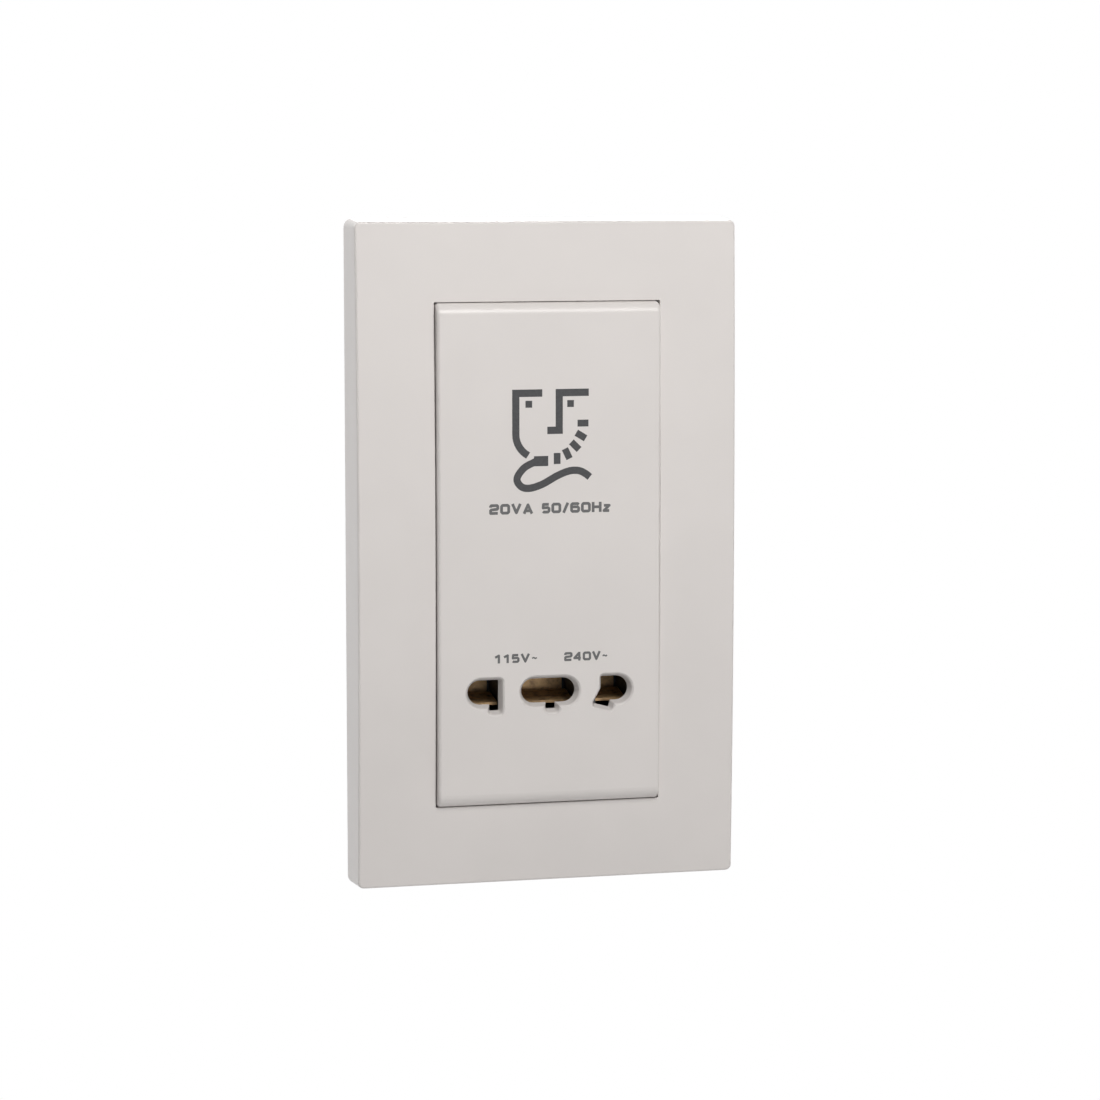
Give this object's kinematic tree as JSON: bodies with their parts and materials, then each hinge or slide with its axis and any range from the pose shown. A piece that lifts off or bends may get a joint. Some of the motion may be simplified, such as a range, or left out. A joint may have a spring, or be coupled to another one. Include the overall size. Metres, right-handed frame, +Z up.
{
  "type": "shaver socket",
  "caption": "Upright wall plate with a crowned frame around a dual-voltage shaver outlet: apertures for round and flat pins in front, isolating transformer in a deep case behind.",
  "frame": {"origin": "on the wall plane, midway between the two fixing screws", "axes": "+X to the right seen from the front, +Y into the wall, +Z up; the front faces -Y"},
  "size_m": [0.086, 0.0499, 0.146],
  "materials": {
    "white_gloss": "glossy moulded urea, warm white",
    "white_matte": "fine moulded texture, warm white",
    "grey_matte": "fine moulded texture, light grey",
    "black_matte": "thermoset, black",
    "spring_brass": "bright rolled strip",
    "cast_brass": "drawn bar, machined",
    "zinc_steel": "zinc plated, bright",
    "lamination": "stacked sheet, varnished dark",
    "bobbin_nylon": "natural nylon",
    "winding": "enamelled copper wire, varnished",
    "cutout_case": "phenolic, black",
    "lead_brown": "PVC insulation, brown",
    "lead_blue": "PVC insulation, blue",
    "lead_red": "PVC insulation, red",
    "lead_yellow": "PVC insulation, yellow",
    "lead_black": "PVC insulation, black"
  },
  "bodies": {
    "root": {"cover_plate": "white_gloss", "socket_face": "white_gloss", "support_frame": "grey_matte", "fixing_screws": "zinc_steel", "contact_carrier": "black_matte", "contact_115v": "spring_brass", "contact_common": "spring_brass", "contact_240v": "spring_brass", "rear_case": "white_matte", "case_screws": "zinc_steel", "core_e_stack": "lamination", "core_i_stack": "lamination", "bobbin": "bobbin_nylon", "primary_winding": "winding", "secondary_winding": "winding", "core_bracket_upper": "zinc_steel", "core_bracket_lower": "zinc_steel", "bracket_screws": "zinc_steel", "thermal_cutout": "cutout_case", "terminal_block": "black_matte", "terminal_live": "cast_brass", "terminal_earth": "cast_brass", "terminal_neutral": "cast_brass", "terminal_screws": "zinc_steel", "block_screws": "zinc_steel", "lead_live": "lead_brown", "lead_neutral": "lead_blue", "lead_115v": "lead_red", "lead_common": "lead_black", "lead_240v": "lead_yellow"}
  },
  "joints": []
}
